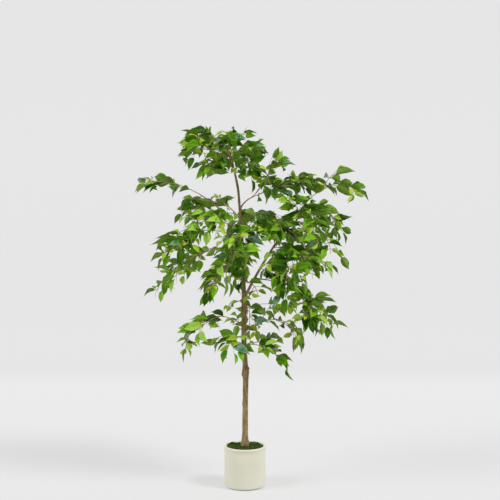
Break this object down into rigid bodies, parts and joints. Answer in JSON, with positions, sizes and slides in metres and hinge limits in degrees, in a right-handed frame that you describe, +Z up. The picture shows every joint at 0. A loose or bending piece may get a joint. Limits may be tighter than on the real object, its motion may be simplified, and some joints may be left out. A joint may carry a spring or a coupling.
{
  "type": "potted weeping fig",
  "caption": "Artificial weeping fig in a plain cream cylindrical pot filled with moss: one slender trunk that forks low, arching boughs and hanging foliage in separate masses.",
  "frame": {"origin": "centre of the pot's flat underside", "axes": "+Z up along the trunk, +X to the right of the picture, +Y away from its camera"},
  "size_m": [0.8621, 0.5574, 1.2955],
  "materials": {
    "pot_cream": "satin",
    "moss_green": "matte",
    "trunk_bark": "matte",
    "young_bark": "matte",
    "leaf_green": "satin"
  },
  "bodies": {
    "root": {"bough_back_high": "young_bark", "bough_back_left_high": "young_bark", "bough_back_low": "young_bark", "bough_back_middle": "young_bark", "bough_leader": "young_bark", "bough_left_high": "young_bark", "bough_left_low": "young_bark", "bough_left_middle": "young_bark", "bough_left_outer": "young_bark", "bough_left_upper": "young_bark", "bough_right_back": "young_bark", "bough_right_high": "young_bark", "bough_right_low": "young_bark", "bough_right_lower": "young_bark", "bough_top_back": "young_bark", "foliage_back_high": "leaf_green", "foliage_back_left_high": "leaf_green", "foliage_back_low": "leaf_green", "foliage_back_middle": "leaf_green", "foliage_centre_right": "leaf_green", "foliage_fork_front": "leaf_green", "foliage_front_high": "leaf_green", "foliage_front_left_high": "leaf_green", "foliage_front_middle": "leaf_green", "foliage_front_right_low": "leaf_green", "foliage_leader": "leaf_green", "foliage_leader_mid_front": "leaf_green", "foliage_leader_top_front": "leaf_green", "foliage_left_front": "leaf_green", "foliage_left_front_low": "leaf_green", "foliage_left_high": "leaf_green", "foliage_left_high_side": "leaf_green", "foliage_left_low": "leaf_green", "foliage_left_middle": "leaf_green", "foliage_left_outer": "leaf_green", "foliage_left_upper": "leaf_green", "foliage_right_back": "leaf_green", "foliage_right_crest": "leaf_green", "foliage_right_hanging": "leaf_green", "foliage_right_high": "leaf_green", "foliage_right_low": "leaf_green", "foliage_right_lower": "leaf_green", "foliage_right_outer": "leaf_green", "foliage_right_shoulder": "leaf_green", "foliage_right_upper": "leaf_green", "foliage_top_back": "leaf_green", "foliage_top_crown": "leaf_green", "foliage_top_front": "leaf_green", "foliage_top_left": "leaf_green", "foliage_top_left_low": "leaf_green", "foliage_top_right": "leaf_green", "foliage_top_right_low": "leaf_green", "moss": "moss_green", "pot": "pot_cream", "trunk": "trunk_bark"}
  },
  "joints": []
}
